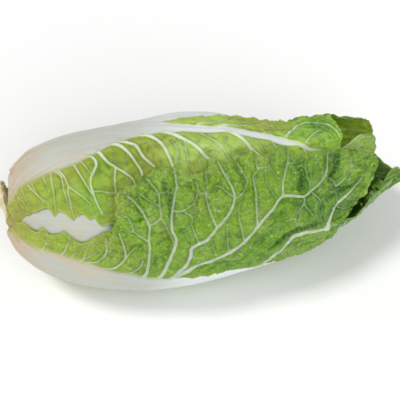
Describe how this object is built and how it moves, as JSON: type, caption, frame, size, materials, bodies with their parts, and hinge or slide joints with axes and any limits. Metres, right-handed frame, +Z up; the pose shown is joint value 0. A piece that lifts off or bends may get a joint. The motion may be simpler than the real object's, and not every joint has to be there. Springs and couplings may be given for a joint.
{
  "type": "napa cabbage",
  "caption": "Head of napa (Chinese) cabbage lying on its side: broad white-ribbed crinkled green leaves wrapped one over another round a short cut core.",
  "frame": {"origin": "on the surface it lies on, under the middle of the head's bounding box", "axes": "+Z up; +X along the head from the cut stem to the leaf tips; -Y is the side with the front wrapper leaf"},
  "size_m": [0.3224, 0.1354, 0.1294],
  "materials": {
    "outer_leaf": "green crinkled cabbage leaf with a waxy satin bloom and a smooth white midrib",
    "inner_leaf": "pale yellow-green cabbage leaf, thin and crisp",
    "heart_leaf": "blanched cream-yellow heart leaf",
    "core": "cut cabbage stem: cream flesh, dried and browned on the cut"
  },
  "bodies": {
    "root": {"front_wrapper_leaf": "outer_leaf", "top_wrapper_leaf": "outer_leaf", "underside_wrapper_leaf": "outer_leaf", "front_second_leaf": "outer_leaf", "back_wrapper_leaf": "outer_leaf", "underside_second_leaf": "outer_leaf", "top_second_leaf": "outer_leaf", "back_second_leaf": "outer_leaf", "head_leaf_1": "inner_leaf", "head_leaf_2": "inner_leaf", "head_leaf_3": "inner_leaf", "head_leaf_4": "inner_leaf", "head_leaf_5": "inner_leaf", "head_leaf_6": "inner_leaf", "head_leaf_7": "inner_leaf", "head_leaf_8": "inner_leaf", "heart_leaf_1": "heart_leaf", "heart_leaf_2": "heart_leaf", "heart_leaf_3": "heart_leaf", "heart_leaf_4": "heart_leaf", "heart_leaf_5": "heart_leaf", "heart_leaf_6": "heart_leaf", "heart_leaf_7": "heart_leaf", "heart_leaf_8": "heart_leaf", "core_stem": "core"}
  },
  "joints": []
}
